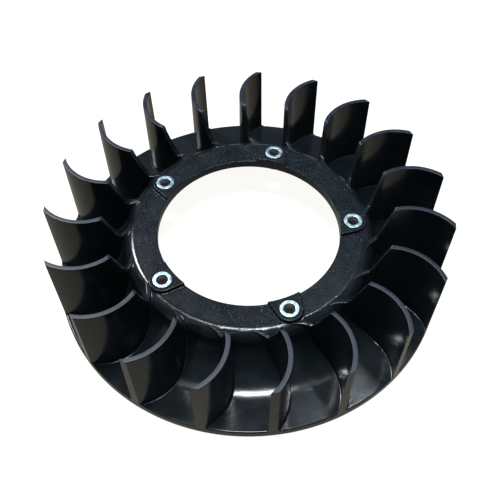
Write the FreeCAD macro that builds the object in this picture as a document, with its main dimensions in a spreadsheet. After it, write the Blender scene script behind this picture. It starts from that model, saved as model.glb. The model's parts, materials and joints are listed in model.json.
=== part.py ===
import FreeCAD, Part
import math
import os
import Sketcher

# Centrifugal cooling fan that bolts on top of the flywheel of a small air-cooled engine.
# It is one black moulding, built here as a hub ring, a hub wall, a dish floor, a rim lip and
# its curved blades, with a steel sleeve moulded into the hub ring at every bolt.
# Millimetres, +Z up. The origin is on the fan's axis, in the plane of the rim's lower edge.

DIMENSIONS = (
    ("outer_radius", 120.0, "rim and blade tips"),
    ("bore_radius", 56.0, "central opening"),
    ("ring_top", 33.0, "top face of the hub ring, above the rim's lower edge"),
    ("ring_thick", 5.5, "hub ring"),
    ("flat_radius", 69.6, "where the flat top ends and the shoulder begins"),
    ("shoulder_round", 7.5, "shoulder between the flat top and the wall"),
    ("ring_edge", 72.5, "outer edge of the hub ring, part way down the shoulder"),
    ("floor_start", 102.0, "where the hollow curve of the dish runs out flat"),
    ("floor_top", 5.5, "top face of the dish floor"),
    ("wall_thick", 3.0, "wall, floor and lip"),
    ("lip_round", 0.8, "upper outside edge of the lip"),
    ("split_angle", 45.0, "slope at which the wall hands over to the floor"),
    ("blade_count", 19, "blades round the dish"),
    ("blade_top", 55.0, "flat top edge of a blade"),
    ("blade_thick", 2.65, "blade at its top edge"),
    ("blade_draft", 0.4, "draft of each side of a blade, degrees"),
    ("blade_arc", 29.65, "radius of a blade's curve, seen from above"),
    ("blade_arc_place", 99.15, "distance of that curve's centre from the axis"),
    ("blade_arc_outer", 42.0, "angle on the curve just outside the rim"),
    ("blade_arc_inner", 166.0, "angle on the curve just inside the shoulder"),
    ("blade_corner", 85.7, "distance from the axis where the top edge starts to slope down"),
    ("blade_foot", 78.0, "distance from the axis where that slope meets the ring's level"),
    ("blade_nose", 72.0, "distance from the axis where a blade's low inner rib ends"),
    ("sleeve_count", 5, "bolt sleeves round the hub ring"),
    ("sleeve_circle", 64.0, "radius of the bolt circle"),
    ("sleeve_start", 3.0, "angle of the first sleeve, degrees"),
    ("sleeve_radius", 5.65, "outside of a sleeve"),
    ("sleeve_bore", 3.3, "clearance hole for an M6 bolt"),
    ("sleeve_proud", 0.4, "sleeve above its pad"),
    ("sleeve_seat", 2.8, "sleeve below the hub ring"),
    ("sleeve_bevel", 0.35, "bevel on a sleeve's outer edges"),
    ("pad_high", 2.4, "raised pad round a sleeve"),
    ("pad_nose", 7.9, "radius of a pad's outer end"),
    ("pad_flare", 12.0, "how far a pad's sides spread towards the bore, degrees"),
    ("pad_overlap", 4.0, "pad carried past the bore edge before the bore is cut"),
    ("pad_root", 1.0, "how deep a pad is rooted in the ring, past the shoulder's fall"),
)

doc = FreeCAD.newDocument("flywheel_fan")
sheet = doc.addObject("Spreadsheet::Sheet", "Dims")
for row, (alias, size, note) in enumerate(DIMENSIONS, start=1):
    sheet.set("A%d" % row, alias)
    sheet.set("B%d" % row, str(size))
    sheet.set("C%d" % row, note)
    sheet.setAlias("B%d" % row, alias)
doc.recompute()


def measure(expression):
    """The number that an expression of the sheet's cells gives now."""
    return float(sheet.evalExpression(expression))


def bind(thing, **sizes):
    """Ties properties of a document object to expressions."""
    for name, expression in sizes.items():
        thing.setExpression(name.replace("__", "."), expression)


def side_shape(start, end, radius, turn):
    """A straight side, or a round one that turns left (+1) or right (-1) on its way."""
    if radius is None:
        return Part.LineSegment(start, end)
    chord = end - start
    middle = start + chord * 0.5
    left = FreeCAD.Vector(-chord.y, chord.x, 0).normalize()
    rise = math.sqrt(radius ** 2 - (chord.Length / 2) ** 2)
    centre = middle + left * (rise * turn)
    first, last = (start, end) if turn > 0 else (end, start)
    begin_angle = math.atan2(first.y - centre.y, first.x - centre.x)
    end_angle = math.atan2(last.y - centre.y, last.x - centre.x)
    circle = Part.Circle(centre, FreeCAD.Vector(0, 0, 1), radius)
    return Part.ArcOfCircle(circle, begin_angle, end_angle)


def draw_outline(sketch, corners, rounds):
    """Closes an outline through corners given as pairs of expressions.

    rounds names the sides that are arcs: side number -> (radius expression, turn).
    """
    places = [FreeCAD.Vector(measure(across), measure(up), 0) for across, up in corners]
    first_end, last_end = {}, {}
    sides = []
    for number, start in enumerate(places):
        end = places[(number + 1) % len(places)]
        radius, turn = rounds.get(number, (None, 1))
        size = None if radius is None else measure(radius)
        side = sketch.addGeometry(side_shape(start, end, size, turn), False)
        sides.append(side)
        first_end[side], last_end[side] = (1, 2) if turn > 0 else (2, 1)
        if radius is not None:
            held = sketch.addConstraint(Sketcher.Constraint("Radius", side, size))
            sketch.setExpression("Constraints[%d]" % held, radius)
    for number, side in enumerate(sides):
        following = sides[(number + 1) % len(sides)]
        joined = (side, last_end[side], following, first_end[following])
        sketch.addConstraint(Sketcher.Constraint("Coincident", *joined))
    for side, place, expressions in zip(sides, places, corners):
        for kind, size, expression in zip(("DistanceX", "DistanceY"), place, expressions):
            rule = Sketcher.Constraint(kind, -1, 1, side, first_end[side], size)
            held = sketch.addConstraint(rule)
            sketch.setExpression("Constraints[%d]" % held, expression)


def draw_circle(sketch, radius, across="0"):
    """A circle on the sketch's level line, its centre and radius held by expressions."""
    centre = FreeCAD.Vector(measure(across), 0, 0)
    circle = Part.Circle(centre, FreeCAD.Vector(0, 0, 1), measure(radius))
    ring = sketch.addGeometry(circle, False)
    held = sketch.addConstraint(Sketcher.Constraint("Radius", ring, measure(radius)))
    sketch.setExpression("Constraints[%d]" % held, radius)
    if across == "0":
        sketch.addConstraint(Sketcher.Constraint("Coincident", ring, 3, -1, 1))
        return
    sketch.addConstraint(Sketcher.Constraint("PointOnObject", ring, 3, -1))
    held = sketch.addConstraint(Sketcher.Constraint("DistanceX", -1, 1, ring, 3, centre.x))
    sketch.setExpression("Constraints[%d]" % held, across)


def new_body(label):
    """An empty body whose label becomes the sub-part's file name."""
    body = doc.addObject("PartDesign::Body", label)
    body.Label = label
    return body


def body_sketch(body, name, role, height="0"):
    """A sketch on one of the body's own origin planes, lifted to a height."""
    sketch = body.newObject("Sketcher::SketchObject", name)
    plane = next(item for item in body.Origin.OriginFeatures if item.Role == role)
    sketch.AttachmentSupport = [(plane, "")]
    sketch.MapMode = "FlatFace"
    sketch.setExpression("AttachmentOffset.Base.z", height)
    return sketch


def origin_axis(body, role):
    """One of the body's own origin axes."""
    return next(item for item in body.Origin.OriginFeatures if item.Role == role)


def ring_of_revolution(label, corners, rounds):
    """A body turned all the way round the fan's axis from one outline in the XZ plane."""
    body = new_body(label)
    profile = body_sketch(body, label + "_profile", "XZ_Plane")
    draw_outline(profile, corners, rounds)
    turned = body.newObject("PartDesign::Revolution", label + "_turned")
    turned.Profile = profile
    turned.ReferenceAxis = (profile, ["V_Axis"])
    turned.Angle = 360
    doc.recompute()
    return body


def polar_copies(body, feature, count):
    """Repeats a feature round the body's Z axis."""
    pattern = body.newObject("PartDesign::PolarPattern", feature.Name + "_round")
    pattern.Originals = [feature]
    pattern.Axis = (origin_axis(body, "Z_Axis"), [""])
    pattern.Angle = 360
    bind(pattern, Occurrences=count)
    body.Tip = pattern
    doc.recompute()
    return pattern


def cut_through(body, name, sketch):
    """Cuts a sketch right through the body both ways, and makes sure that it did."""
    before = body.Shape.Volume
    cut = body.newObject("PartDesign::Pocket", name)
    cut.Profile = sketch
    cut.Type = "ThroughAll"
    cut.Midplane = True
    body.Tip = cut
    doc.recompute()
    if body.Shape.Volume > before - 1:
        raise RuntimeError(name + " cut nothing")
    return cut


# The dish's upper face in a section through the axis: a convex shoulder that runs straight into
# a hollow curve, which runs out flat into the floor. The two curves touch in one tangent.
SHOULDER_X = "Dims.flat_radius"
SHOULDER_Z = "(Dims.ring_top - Dims.shoulder_round)"
EDGE_Z = "(%s + sqrt(Dims.shoulder_round^2 - (Dims.ring_edge - Dims.flat_radius)^2))" % SHOULDER_Z
CURVE_WIDTH = "(Dims.floor_start - Dims.flat_radius)"
CURVE_DROP = "(Dims.ring_top - Dims.shoulder_round - Dims.floor_top)"
HOLLOW = "((%s^2 + %s^2 - Dims.shoulder_round^2) / (2 * (%s + Dims.shoulder_round)))" % (
    CURVE_WIDTH, CURVE_DROP, CURVE_DROP)
HOLLOW_X = "Dims.floor_start"
HOLLOW_Z = "(Dims.floor_top + %s)" % HOLLOW
SHARE = "(Dims.shoulder_round / (Dims.shoulder_round + %s))" % HOLLOW
TANGENT = ("(%s + %s * %s)" % (SHOULDER_X, CURVE_WIDTH, SHARE),
           "(%s + (%s - %s) * %s)" % (SHOULDER_Z, HOLLOW_Z, SHOULDER_Z, SHARE))
UNDER_HOLLOW = "(%s + Dims.wall_thick)" % HOLLOW
RING_UNDER = "(Dims.ring_top - Dims.ring_thick)"
FLOOR_UNDER = "(Dims.floor_top - Dims.wall_thick)"
LIP_INSIDE = "(Dims.outer_radius - Dims.wall_thick)"
SPLIT_SIN = "sin(Dims.split_angle * 1 deg)"
SPLIT_COS = "cos(Dims.split_angle * 1 deg)"
SPLIT_TOP = ("(%s - %s * %s)" % (HOLLOW_X, HOLLOW, SPLIT_SIN),
             "(%s - %s * %s)" % (HOLLOW_Z, HOLLOW, SPLIT_COS))
SPLIT_UNDER = ("(%s - %s * %s)" % (HOLLOW_X, UNDER_HOLLOW, SPLIT_SIN),
               "(%s - %s * %s)" % (HOLLOW_Z, UNDER_HOLLOW, SPLIT_COS))
WALL_INSIDE = "(%s - sqrt(%s^2 - (%s - %s)^2))" % (
    HOLLOW_X, UNDER_HOLLOW, HOLLOW_Z, RING_UNDER)


def hub_ring():
    """Ring round the bore, with a raised pad and a sleeve seat at every bolt."""
    body = ring_of_revolution("hub_ring", (
        ("Dims.bore_radius", RING_UNDER),
        ("Dims.ring_edge", RING_UNDER),
        ("Dims.ring_edge", EDGE_Z),
        ("Dims.flat_radius", "Dims.ring_top"),
        ("Dims.bore_radius", "Dims.ring_top"),
    ), {2: ("Dims.shoulder_round", 1)})

    nose_x = "(Dims.sleeve_circle + Dims.pad_nose * sin(Dims.pad_flare * 1 deg))"
    nose_y = "(Dims.pad_nose * cos(Dims.pad_flare * 1 deg))"
    root_x = "(Dims.bore_radius - Dims.pad_overlap)"
    root_y = "(%s + (%s - %s) * tan(Dims.pad_flare * 1 deg))" % (nose_y, nose_x, root_x)
    corners = ((root_x, "-" + root_y), (nose_x, "-" + nose_y), (nose_x, nose_y), (root_x, root_y))
    pad_sketch = body_sketch(body, "pad_outline", "XY_Plane", "Dims.ring_top - Dims.pad_root")
    draw_outline(pad_sketch, corners, {1: ("Dims.pad_nose", 1)})
    pad = body.newObject("PartDesign::Pad", "sleeve_pad")
    pad.Profile = pad_sketch
    bind(pad, Length="Dims.pad_root + Dims.pad_high")
    body.Tip = pad
    doc.recompute()
    polar_copies(body, pad, "Dims.sleeve_count")

    seat_sketch = body_sketch(body, "seat_outline", "XY_Plane", "Dims.ring_top")
    draw_circle(seat_sketch, "Dims.sleeve_radius", "Dims.sleeve_circle")
    seat = cut_through(body, "sleeve_seat", seat_sketch)
    polar_copies(body, seat, "Dims.sleeve_count")

    bore_sketch = body_sketch(body, "bore_outline", "XY_Plane", "Dims.ring_top")
    draw_circle(bore_sketch, "Dims.bore_radius")
    cut_through(body, "bore", bore_sketch)
    bind(body, Placement__Rotation__Angle="Dims.sleeve_start * 1 deg")
    return body


def hub_wall():
    """Steep wall that drops from the hub ring into the dish, with the rest of the shoulder."""
    corners = (
        ("Dims.ring_edge", RING_UNDER),
        (WALL_INSIDE, RING_UNDER),
        SPLIT_UNDER,
        SPLIT_TOP,
        TANGENT,
        ("Dims.ring_edge", EDGE_Z),
    )
    rounds = {1: (UNDER_HOLLOW, 1), 3: (HOLLOW, -1), 4: ("Dims.shoulder_round", 1)}
    return ring_of_revolution("hub_wall", corners, rounds)


def dish_floor():
    """Hollow curve at the foot of the wall and the flat floor that carries the blades."""
    corners = (
        SPLIT_UNDER,
        ("Dims.floor_start", FLOOR_UNDER),
        (LIP_INSIDE, FLOOR_UNDER),
        (LIP_INSIDE, "Dims.floor_top"),
        ("Dims.floor_start", "Dims.floor_top"),
        SPLIT_TOP,
    )
    rounds = {0: (UNDER_HOLLOW, 1), 4: (HOLLOW, -1)}
    return ring_of_revolution("dish_floor", corners, rounds)


def rim_lip():
    """Turned-down lip that stiffens the rim."""
    corners = (
        (LIP_INSIDE, "0"),
        ("Dims.outer_radius", "0"),
        ("Dims.outer_radius", "Dims.floor_top - Dims.lip_round"),
        ("Dims.outer_radius - Dims.lip_round", "Dims.floor_top"),
        (LIP_INSIDE, "Dims.floor_top"),
    )
    return ring_of_revolution("rim_lip", corners, {2: ("Dims.lip_round", 1)})


def arc_point(radius, angle):
    """A point on a blade's curve, seen from above, as a pair of expressions."""
    return ("(Dims.blade_arc_place + %s * cos(%s * 1 deg))" % (radius, angle),
            "(%s * sin(%s * 1 deg))" % (radius, angle))


def loose_sketch(name):
    """A sketch that stands on its own in the document."""
    return doc.addObject("Sketcher::SketchObject", name)


def blade_wall():
    """Curved wall with draft, taller and longer than a blade: a strip along the blade's arc."""
    strip = loose_sketch("blade_strip")
    bind(strip, Placement__Base__z="Dims.blade_top")
    inside = "(Dims.blade_arc - Dims.blade_thick / 2)"
    outside = "(Dims.blade_arc + Dims.blade_thick / 2)"
    corners = (
        arc_point(inside, "Dims.blade_arc_inner"),
        arc_point(inside, "Dims.blade_arc_outer"),
        arc_point(outside, "Dims.blade_arc_outer"),
        arc_point(outside, "Dims.blade_arc_inner"),
    )
    draw_outline(strip, corners, {0: (inside, -1), 2: (outside, 1)})
    wall = doc.addObject("Part::Extrusion", "blade_wall")
    wall.Base = strip
    wall.DirMode = "Custom"
    wall.Dir = FreeCAD.Vector(0, 0, -1)
    wall.Solid = True
    bind(wall, LengthFwd="Dims.blade_top", TaperAngle="Dims.blade_draft * 1 deg")
    doc.recompute()
    return wall


def blade_reach():
    """All the space that blades may fill: above the dish, under their top edge, inside the rim."""
    nose_z = "(%s + sqrt(Dims.shoulder_round^2 - (Dims.blade_nose - Dims.flat_radius)^2))" % (
        SHOULDER_Z)
    profile = loose_sketch("blade_section")
    upright = FreeCAD.Rotation(FreeCAD.Vector(1, 0, 0), 90)
    profile.Placement = FreeCAD.Placement(FreeCAD.Vector(), upright)
    corners = (
        ("Dims.floor_start", "Dims.floor_top"),
        ("Dims.outer_radius", "Dims.floor_top"),
        ("Dims.outer_radius", "Dims.blade_top"),
        ("Dims.blade_corner", "Dims.blade_top"),
        ("Dims.blade_foot", "Dims.ring_top"),
        ("Dims.blade_nose", "Dims.ring_top"),
        ("Dims.blade_nose", nose_z),
        TANGENT,
    )
    draw_outline(profile, corners, {6: ("Dims.shoulder_round", -1), 7: (HOLLOW, 1)})
    reach = doc.addObject("Part::Revolution", "blade_reach")
    reach.Source = profile
    reach.Axis = FreeCAD.Vector(0, 0, 1)
    reach.Angle = 360
    reach.Solid = True
    doc.recompute()
    return reach


def blades():
    """The blades, each what the curved wall and the blades' space have in common."""
    wall = blade_wall()
    reach = blade_reach()
    made = []
    for number in range(int(measure("Dims.blade_count"))):
        blade = doc.addObject("Part::Common", "blade_%02d" % (number + 1))
        blade.Label = blade.Name
        blade.Base = wall
        blade.Tool = reach
        turn = "%d * 360 deg / Dims.blade_count" % number
        bind(blade, Placement__Rotation__Angle=turn)
        made.append(blade)
    doc.recompute()
    return made


def sleeve(number):
    """Steel sleeve that takes the clamping load of one bolt past the plastic."""
    body = new_body("sleeve_%d" % (number + 1))
    low = "(%s - Dims.sleeve_seat)" % RING_UNDER
    tall = "(Dims.ring_thick + Dims.sleeve_seat + Dims.pad_high + Dims.sleeve_proud)"
    ring = body_sketch(body, body.Name + "_section", "XY_Plane", low)
    draw_circle(ring, "Dims.sleeve_radius")
    draw_circle(ring, "Dims.sleeve_bore")
    tube = body.newObject("PartDesign::Pad", body.Name + "_tube")
    tube.Profile = ring
    bind(tube, Length=tall)
    doc.recompute()
    rims = []
    for index, edge in enumerate(tube.Shape.Edges, start=1):
        is_round = isinstance(edge.Curve, Part.Circle)
        if is_round and edge.Curve.Radius > measure("Dims.sleeve_bore") + 1:
            rims.append("Edge%d" % index)
    bevel = body.newObject("PartDesign::Chamfer", body.Name + "_bevel")
    bevel.Base = (tube, rims)
    bind(bevel, Size="Dims.sleeve_bevel")
    body.Tip = bevel
    angle = "(Dims.sleeve_start + %d * 360 / Dims.sleeve_count) * 1 deg" % number
    bind(body, Placement__Base__x="Dims.sleeve_circle * cos(%s)" % angle,
         Placement__Base__y="Dims.sleeve_circle * sin(%s)" % angle,
         Placement__Rotation__Angle=angle)
    doc.recompute()
    return body


parts = [hub_ring(), hub_wall(), dish_floor(), rim_lip()]
parts += blades()
parts += [sleeve(number) for number in range(int(measure("Dims.sleeve_count")))]
doc.recompute()

for thing in doc.Objects:
    if "Invalid" in thing.State or "Error" in thing.State:
        raise RuntimeError(thing.Name + " did not rebuild")
for part in parts:
    if part.Shape.isNull() or not part.Shape.isValid() or part.Shape.Volume <= 0:
        raise RuntimeError(part.Label + " has no good shape")

os.makedirs("parts", exist_ok=True)
for part in parts:
    part.Shape.exportStep("parts/%s.step" % part.Label)
    box = part.Shape.BoundBox
    print("%-12s %9.1f mm3  z %6.2f to %6.2f" % (part.Label, part.Shape.Volume, box.ZMin, box.ZMax))
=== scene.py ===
# %% [markdown]
# # A moulded flywheel fan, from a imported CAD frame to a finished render
# The real object is one black glass-filled nylon moulding with five zinc-plated steel sleeves.
# The CAD frame holds its sizes and its mounts. This lesson builds the surfaces that the eye
# reads: soft mould radii, fillets where the blades stand on the dish, and plastic that is
# glossy in the air path and dull on the hub. Everything is in metres, in the frame's axes.

# %% Load the frame
import json

import bpy
import numpy as np
from mathutils import Matrix, Vector


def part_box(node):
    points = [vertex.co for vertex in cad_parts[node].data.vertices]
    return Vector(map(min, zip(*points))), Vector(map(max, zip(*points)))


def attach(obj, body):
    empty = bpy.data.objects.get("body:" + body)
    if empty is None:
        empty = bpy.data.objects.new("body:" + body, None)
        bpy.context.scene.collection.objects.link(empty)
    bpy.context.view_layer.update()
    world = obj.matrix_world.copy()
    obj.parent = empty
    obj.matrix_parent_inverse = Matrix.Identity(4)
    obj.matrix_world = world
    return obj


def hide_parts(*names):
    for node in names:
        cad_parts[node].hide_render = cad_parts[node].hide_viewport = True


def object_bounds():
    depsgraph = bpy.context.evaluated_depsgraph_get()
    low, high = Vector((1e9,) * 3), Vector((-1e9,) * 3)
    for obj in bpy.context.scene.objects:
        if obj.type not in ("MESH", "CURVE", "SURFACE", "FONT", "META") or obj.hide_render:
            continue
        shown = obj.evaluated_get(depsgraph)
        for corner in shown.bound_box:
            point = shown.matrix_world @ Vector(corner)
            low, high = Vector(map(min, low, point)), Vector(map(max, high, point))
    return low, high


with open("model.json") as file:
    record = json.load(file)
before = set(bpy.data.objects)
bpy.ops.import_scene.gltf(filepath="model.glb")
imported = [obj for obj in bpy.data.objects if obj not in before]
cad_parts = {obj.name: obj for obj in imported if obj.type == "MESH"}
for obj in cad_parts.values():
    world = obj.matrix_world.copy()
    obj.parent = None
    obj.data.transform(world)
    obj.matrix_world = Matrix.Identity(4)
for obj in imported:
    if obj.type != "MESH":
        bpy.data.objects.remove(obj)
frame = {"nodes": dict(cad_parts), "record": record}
cad_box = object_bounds()
mounts = {mount["name"]: mount for mount in frame["record"]["mounts"]}
MM = 0.001
print("CAD nodes:", len(frame["nodes"]))

# %% [markdown]
# ## Sizes
# The frame already knows the outline: its boxes give the rim, the blade tops and the ring, and
# its mounts give the bore and the bolt circle. Only the curves inside those boxes need named
# values here, and they repeat the design's own driving dimensions, in millimetres.

# %% Sizes read from the frame
RIM = max(cad_box[1][0], cad_box[1][1], -cad_box[0][0], -cad_box[0][1])
RIM = round(RIM / MM, 1) * MM
BORE = mounts["centre_bore"]["dims"]["r_mm"] * MM
BLADE_TOP = cad_box[1][2]
BLADES = sum(name.startswith("blade_") for name in frame["nodes"])
SLEEVES = mounts["sleeve_bolts"]["dims"]["count"]
BOLT_CIRCLE = mounts["sleeve_bolts"]["dims"]["pcd_mm"] / 2 * MM
BOLT_HOLE = mounts["sleeve_bolts"]["dims"]["hole_r_mm"] * MM
SEAT = mounts["sleeve_seat"]["pos_m"]
FIRST_SLEEVE = np.arctan2(SEAT[1], SEAT[0])
SLEEVE_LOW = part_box("sleeve_1")[0][2]
SLEEVE_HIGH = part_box("sleeve_1")[1][2]
RING_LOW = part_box("hub_ring")[0][2]
PAD_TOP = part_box("hub_ring")[1][2]
PAD_HIGH = 2.4 * MM
RING_TOP = PAD_TOP - PAD_HIGH
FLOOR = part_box("rim_lip")[1][2]
print("rim %.1f mm, bore %.1f mm, height %.1f mm" % (RIM / MM, BORE / MM, BLADE_TOP / MM))
print(BLADES, "blades,", SLEEVES, "sleeves, first at %.1f deg" % np.degrees(FIRST_SLEEVE))

# %% Curves that the boxes don't show
FLAT = 69.6 * MM           # where the flat top ends
SHOULDER = 7.5 * MM        # radius of the shoulder
RING_EDGE = 72.5 * MM      # joint between the hub ring and the hub wall, on the shoulder
FLOOR_START = 102.0 * MM   # where the hollow curve runs out flat
WALL = 3.0 * MM            # even wall of the moulding
BLADE_ARC = 29.65 * MM     # radius of a blade's curve, seen from above
ARC_PLACE = 99.15 * MM     # distance of that curve's centre from the axis
BLADE_HALF = 1.325 * MM    # half the blade's thickness at its top
DRAFT = np.tan(np.radians(0.4))
CORNER = 85.7 * MM         # where the blade's top edge starts to slope down
FOOT = 78.0 * MM           # where that slope reaches the ring's level
NOSE = 72.0 * MM           # where the blade's low rib ends on the shoulder
SLEEVE_RADIUS = 5.65 * MM
PAD_NOSE = 7.9 * MM
PAD_FLARE = np.radians(12)
slope = np.degrees(np.arctan2(BLADE_TOP - RING_TOP, CORNER - FOOT))
print("slope of a blade's inner end: %.1f deg" % slope)

# %% [markdown]
# ## From a grid of points to a mesh
# Every new piece here is a grid: one parameter runs along the rows, one along the columns, and
# neighbours are joined into four-sided faces. Working the whole grid out with arrays keeps the
# formula readable. A closed shape must face outwards, which the sign of its volume tells.


# %% Grid helper
def signed_volume(points, quads):
    """Adds up the volume of the pyramid from the origin to each face's two triangles."""
    a, b, c, d = (points[quads[:, k]] for k in range(4))
    first = np.einsum("ij,ij->i", a, np.cross(b, c))
    second = np.einsum("ij,ij->i", a, np.cross(c, d))
    return (first + second).sum() / 6


def grid_quads(rows, columns, wrap_rows, wrap_columns):
    """Corner numbers of the faces between neighbouring rows and columns of a grid."""
    index = np.arange(rows * columns).reshape(rows, columns)
    if wrap_rows:
        index = np.vstack([index, index[:1]])
    if wrap_columns:
        index = np.hstack([index, index[:, :1]])
    corners = (index[:-1, :-1], index[1:, :-1], index[1:, 1:], index[:-1, 1:])
    return np.stack(corners, -1).reshape(-1, 4)


def build(name, points, quads, face_slots=None):
    """Puts points and quads into a new smooth-shaded object that faces outwards."""
    points = points.reshape(-1, 3)
    if signed_volume(points, quads) < 0:
        quads = quads[:, ::-1]
    mesh = bpy.data.meshes.new(name)
    mesh.vertices.add(len(points))
    mesh.vertices.foreach_set("co", points.astype(np.float32).ravel())
    mesh.loops.add(quads.size)
    mesh.loops.foreach_set("vertex_index", quads.astype(np.int32).ravel())
    mesh.polygons.add(len(quads))
    mesh.polygons.foreach_set("loop_start", np.arange(0, quads.size, 4, dtype=np.int32))
    if face_slots is not None:
        mesh.polygons.foreach_set("material_index", face_slots.astype(np.int32))
    mesh.update(calc_edges=True)
    mesh.shade_smooth()
    piece = bpy.data.objects.new(name, mesh)
    bpy.context.scene.collection.objects.link(piece)
    return piece


def settle(piece, finishes, slot, *nodes):
    """Gives a piece its finishes and lets it stand for CAD nodes; the slot argument is not used.
    """
    for finish in finishes:
        piece.data.materials.append(finish)
    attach(piece, "root")
    if nodes:
        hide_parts(*nodes)
    return piece


print("a grid of 4 rows and 5 columns has", len(grid_quads(4, 5, False, False)), "faces")

# %% [markdown]
# ## The dish in section
# Cut through the axis, the top of the moulding is a flat ring, a convex shoulder, a long hollow
# curve and a flat floor. The two curves touch, so the distance between their centres is the sum
# of their radii, and that one condition gives the hollow's radius.

# %% Dish section
SHOULDER_Z = RING_TOP - SHOULDER
WIDTH = FLOOR_START - FLAT
DROP = SHOULDER_Z - FLOOR
HOLLOW = (WIDTH ** 2 + DROP ** 2 - SHOULDER ** 2) / (2 * (DROP + SHOULDER))
HOLLOW_Z = FLOOR + HOLLOW
TANGENT = np.arctan2(HOLLOW_Z - SHOULDER_Z, WIDTH)
SPLIT = np.radians(45)
RING_END = np.arccos((RING_EDGE - FLAT) / SHOULDER)
print("hollow radius %.2f mm, steepest slope %.1f deg" % (HOLLOW / MM, 90 - np.degrees(TANGENT)))


def dish_lift(radius, gap):
    """Height of the line that stays a gap above the dish, at a distance from the axis.

    Over each curve it is a circle about the same centre, larger by the gap over the shoulder
    and smaller by it in the hollow; elsewhere it is level.
    """
    meet = FLAT + (SHOULDER + gap) * np.cos(TANGENT)
    over = np.clip(radius - FLAT, 0, SHOULDER + gap)
    inside = np.clip(FLOOR_START - radius, 0, HOLLOW - gap)
    shoulder = SHOULDER_Z + np.sqrt((SHOULDER + gap) ** 2 - over ** 2)
    hollow = HOLLOW_Z - np.sqrt((HOLLOW - gap) ** 2 - inside ** 2)
    return np.where(radius < meet, shoulder, hollow)


def dish_normal(radius, gap):
    """Outward and upward parts of the dish's normal under a point of that same line."""
    meet = FLAT + (SHOULDER + gap) * np.cos(TANGENT)
    over = np.clip(radius - FLAT, 0, SHOULDER + gap) / (SHOULDER + gap)
    inside = np.clip(FLOOR_START - radius, 0, HOLLOW - gap) / (HOLLOW - gap)
    out = np.where(radius < meet, over, inside)
    return out, np.sqrt(1 - out ** 2)


# %% [markdown]
# ## Turned pieces
# The ring, the wall, the floor and the lip are bodies of revolution. A profile is drawn as a
# closed line of points, straight sides and arcs, and carried round the axis. A point just beside
# each end of a side or arc keeps the shading true right up to the corner, as a support loop does,
# and an angle limit keeps the square corners of the joint faces crisp.

# %% Profile helpers
TURNS = BLADES * SLEEVES * 4   # steps round the axis, the same number for every turned piece
CREASE = 0.15 * MM             # from an end of a straight side to its support point
NUDGE = 0.03                   # the same on an arc, as a share of one step
CORNER_ANGLE = np.radians(40)


def arc(centre, radius, start, end, steps):
    """Points round a centre: radius times the cosine and sine of evenly spaced angles."""
    angle = np.linspace(start, end, steps)
    nudge = NUDGE * (angle[1] - angle[0])
    angle = np.concatenate([angle[:1], angle[:1] + nudge, angle[1:-1],
                            angle[-1:] - nudge, angle[-1:]])
    return np.stack([centre[0] + radius * np.cos(angle), centre[1] + radius * np.sin(angle)], 1)


def side(start, end):
    """A straight side with a support point near each of its ends."""
    start, end = np.array(start), np.array(end)
    step = (end - start) / np.linalg.norm(end - start) * CREASE
    return np.array([start, start + step, end - step, end])


def soften(before, corner, after, radius, steps=5):
    """A rounded corner: an arc that touches both sides, by turning one normal to the other."""
    before, corner, after = (np.array(p, float) for p in (before, corner, after))
    u = (before - corner) / np.linalg.norm(before - corner)
    v = (after - corner) / np.linalg.norm(after - corner)
    half = np.arccos(np.clip(u @ v, -1, 1)) / 2
    middle = corner + (u + v) / np.linalg.norm(u + v) * radius / np.sin(half)
    first = corner + u * radius / np.tan(half) - middle
    last = corner + v * radius / np.tan(half) - middle
    share = np.linspace(0, 1, steps)[:, None]
    span = np.pi - 2 * half
    blend = np.sin((1 - share) * span) * first + np.sin(share * span) * last
    return middle + blend / np.sin(span)


def turned(name, profile, turns=TURNS, about=(0.0, 0.0)):
    """Carries a closed profile of (distance, height) round an upright axis."""
    points = np.concatenate(profile)
    keep = np.linalg.norm(points - np.roll(points, 1, 0), axis=1) > 1e-7
    points = points[keep]
    angle = np.linspace(0, 2 * np.pi, turns, endpoint=False)[:, None]
    grid = np.stack([about[0] + points[:, 0] * np.cos(angle),
                     about[1] + points[:, 0] * np.sin(angle),
                     points[:, 1] + 0 * angle], -1)
    piece = build(name, grid, grid_quads(turns, len(points), True, True))
    piece.data.set_sharp_from_angle(angle=CORNER_ANGLE)
    return piece


print("turned pieces have", TURNS, "steps of %.2f mm at the rim" % (2 * np.pi * RIM / TURNS / MM))

# %% [markdown]
# ## Finishes
# A finish is a small tree of nodes. It could be one flat colour, but moulded plastic is told
# from paint by its uneven surface: gloss that changes in clouds, fine grain, dust and wear. One
# function adds any node, so each finish below reads as a list of what the surface is made of.

# %% Node helpers
SMOOTH = {"interpolation_type": "SMOOTHSTEP"}
COLOUR = {"data_type": "RGBA"}
TIMES = {"operation": "MULTIPLY"}


def linear(hex_code):
    """sRGB hex to linear light: divide by 12.92 in the toe, a 2.4 power above it."""
    srgb = np.array([int(hex_code[k:k + 2], 16) for k in (1, 3, 5)]) / 255
    light = np.where(srgb <= 0.04045, srgb / 12.92, ((srgb + 0.055) / 1.055) ** 2.4)
    return (*light, 1.0)


def add_node(tree, kind, settings=None, **inputs):
    """Adds a node, sets its properties, and fills or links its inputs by name or number.

    An input given as a node is linked to that node's first output in use.
    """
    node = tree.nodes.new(kind)
    for key, value in (settings or {}).items():
        setattr(node, key, value)
    for key, value in inputs.items():
        by_number = key[0] == "i" and key[1:].isdigit()
        socket = node.inputs[int(key[1:]) if by_number else key.replace("_", " ")]
        if isinstance(value, bpy.types.Node):
            value = next(out for out in value.outputs if out.enabled)
        if isinstance(value, bpy.types.NodeSocket):
            tree.links.new(value, socket)
        else:
            socket.default_value = value
    return node


def new_finish(name):
    """A material with an empty tree and the object's own coordinates, in metres."""
    finish = bpy.data.materials.new(name)
    finish.use_nodes = True
    finish.node_tree.nodes.clear()
    place = add_node(finish.node_tree, "ShaderNodeTexCoord").outputs["Object"]
    return finish, finish.node_tree, place


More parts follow.
